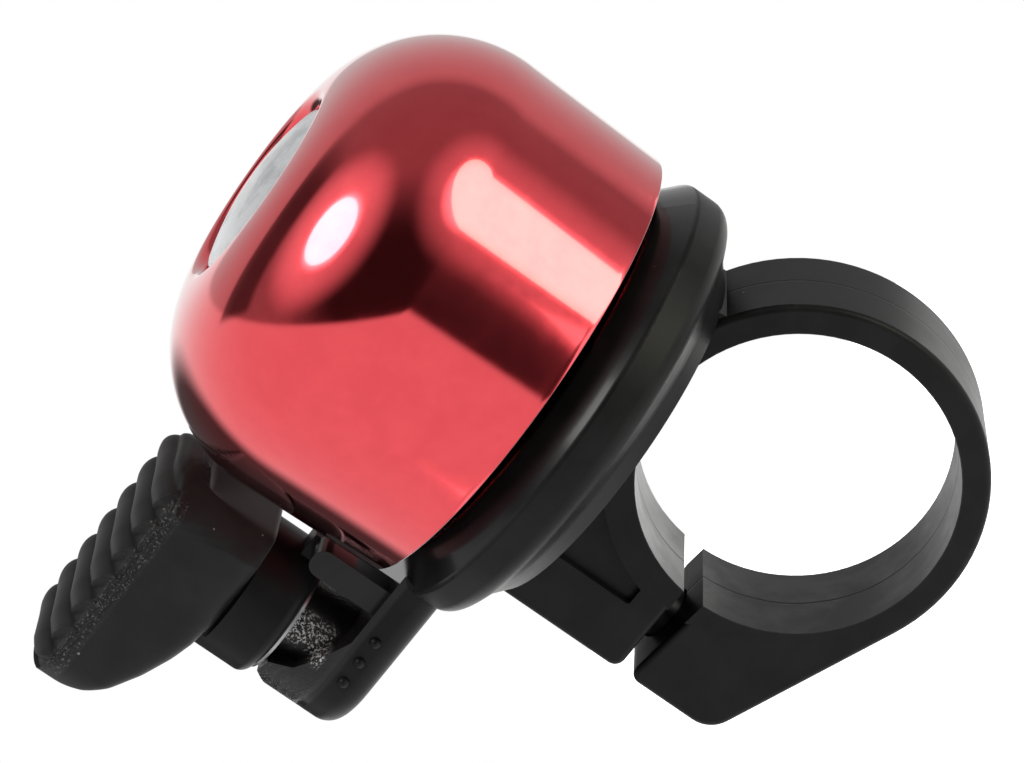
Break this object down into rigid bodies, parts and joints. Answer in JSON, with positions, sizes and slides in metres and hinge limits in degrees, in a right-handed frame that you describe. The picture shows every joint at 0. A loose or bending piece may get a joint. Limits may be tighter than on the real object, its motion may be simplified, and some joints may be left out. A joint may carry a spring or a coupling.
{
  "type": "bicycle bell",
  "caption": "Handlebar bell: polished red dome on a black plastic base with a split strap clamp, and a sprung thumb lever that swings a small hammer against the dome.",
  "frame": {"origin": "centre of the handlebar bore, on the handlebar's axis and half way across the strap", "axes": "+Y along the handlebar, +Z towards the top of the dome, thumb lever and clamp split on the -X side"},
  "size_m": [0.0573, 0.0346, 0.0548],
  "materials": {
    "base_plastic": "fine-grained satin black moulding",
    "dome_metal": "polished red anodised",
    "badge_metal": "satin silver",
    "bush_plastic": "natural moulded",
    "insert_brass": "turned",
    "zinc_steel": "zinc plated",
    "black_steel": "black oxide",
    "lever_plastic": "satin black moulding",
    "grip_rubber": "soft matt",
    "hammer_steel": "turned steel",
    "pin_steel": "drawn steel",
    "spring_steel": "spring wire"
  },
  "bodies": {
    "base": {"base": "base_plastic", "dome": "dome_metal", "dome_bush": "bush_plastic", "dome_insert": "insert_brass", "dome_washer": "zinc_steel", "dome_screw": "zinc_steel", "badge_cap": "badge_metal", "clamp_nut": "zinc_steel", "clamp_washer": "black_steel", "clamp_screw": "black_steel", "pivot_pin": "pin_steel", "pivot_washer": "pin_steel", "pivot_clip": "pin_steel", "return_spring": "spring_steel"},
    "lever": {"lever": "lever_plastic", "hammer": "hammer_steel", "thumb_grip": "grip_rubber"}
  },
  "joints": [
    {"name": "lever_swing", "type": "hinge", "parent": "base", "child": "lever", "pos_m": [-0.031, 0, 0], "axis": [0, 0, 1], "range_deg": [0, 38], "stiffness_Nm_per_rad": 0.02, "springref_deg": -20.05, "deforming": ["return_spring"]}
  ]
}
